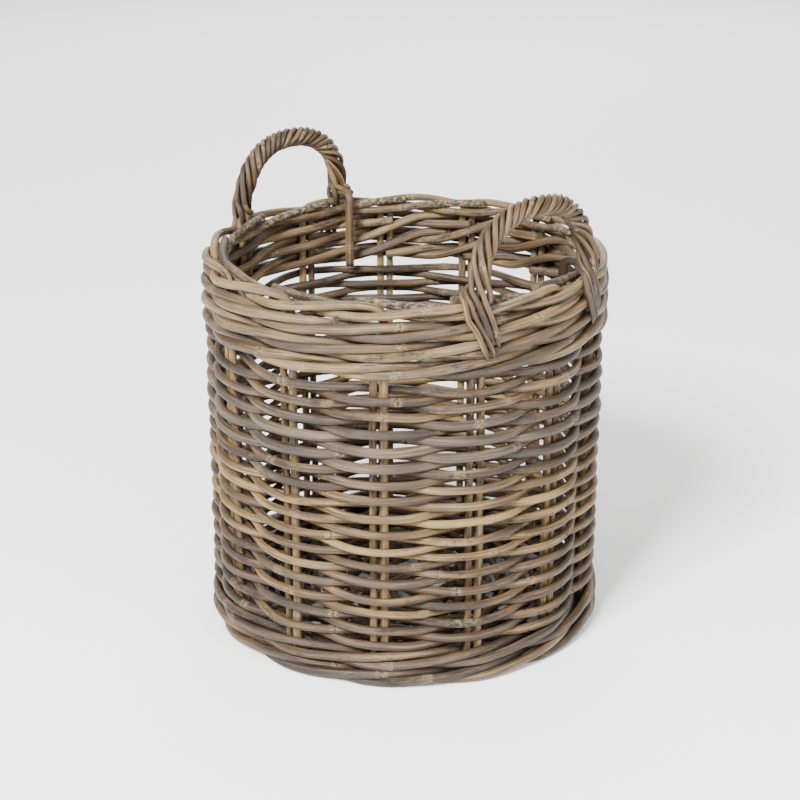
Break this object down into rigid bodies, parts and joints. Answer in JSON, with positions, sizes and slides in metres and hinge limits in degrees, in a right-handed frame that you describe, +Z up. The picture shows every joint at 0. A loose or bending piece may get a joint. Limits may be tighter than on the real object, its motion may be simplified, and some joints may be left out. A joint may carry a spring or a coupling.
{
  "type": "fruit basket",
  "caption": "Tall round woven rattan basket with a three-rod rim and foot wale, plain woven sides, a woven base and two opposite rope-wrapped handles; holds fruit.",
  "frame": {"origin": "centre of the basket's foot on the surface that it stands on, under the middle of its bounding box", "axes": "+Z up along the basket's axis, +X and -X towards the two handles, +Y along the rim between them"},
  "size_m": [0.3463, 0.3446, 0.4037],
  "materials": {
    "stake_cane": "satin",
    "weaver_straw": "satin",
    "weaver_grey": "satin",
    "wale_cane": "satin",
    "base_cane": "satin",
    "handle_cane": "satin"
  },
  "bodies": {
    "root": {"stake_1": "stake_cane", "stake_2": "stake_cane", "stake_3": "stake_cane", "stake_4": "stake_cane", "stake_5": "stake_cane", "stake_6": "stake_cane", "stake_7": "stake_cane", "stake_8": "stake_cane", "stake_9": "stake_cane", "stake_10": "stake_cane", "stake_11": "stake_cane", "stake_12": "stake_cane", "stake_13": "stake_cane", "bye_stake_1": "stake_cane", "bye_stake_2": "stake_cane", "bye_stake_3": "stake_cane", "bye_stake_4": "stake_cane", "bye_stake_5": "stake_cane", "bye_stake_6": "stake_cane", "bye_stake_7": "stake_cane", "bye_stake_8": "stake_cane", "bye_stake_9": "stake_cane", "bye_stake_10": "stake_cane", "bye_stake_11": "stake_cane", "bye_stake_12": "stake_cane", "bye_stake_13": "stake_cane", "side_weaver_1": "weaver_straw", "side_weaver_2": "weaver_grey", "side_weaver_3": "weaver_straw", "side_weaver_4": "weaver_grey", "side_weaver_5": "weaver_straw", "side_weaver_6": "weaver_grey", "side_weaver_7": "weaver_straw", "side_weaver_8": "weaver_grey", "side_weaver_9": "weaver_straw", "side_weaver_10": "weaver_grey", "side_weaver_11": "weaver_straw", "side_weaver_12": "weaver_grey", "side_weaver_13": "weaver_straw", "side_weaver_14": "weaver_grey", "side_weaver_15": "weaver_straw", "foot_wale_1": "wale_cane", "foot_wale_2": "wale_cane", "foot_wale_3": "wale_cane", "rim_wale_1": "wale_cane", "rim_wale_2": "wale_cane", "rim_wale_3": "wale_cane", "base_weaver_1": "base_cane", "base_weaver_2": "base_cane", "base_sticks_across": "base_cane", "base_sticks_along": "base_cane", "base_half_stick": "base_cane", "handle_bow_right": "handle_cane", "handle_bow_left": "handle_cane", "handle_wrap_right": "handle_cane", "handle_wrap_left": "handle_cane"}
  },
  "joints": []
}
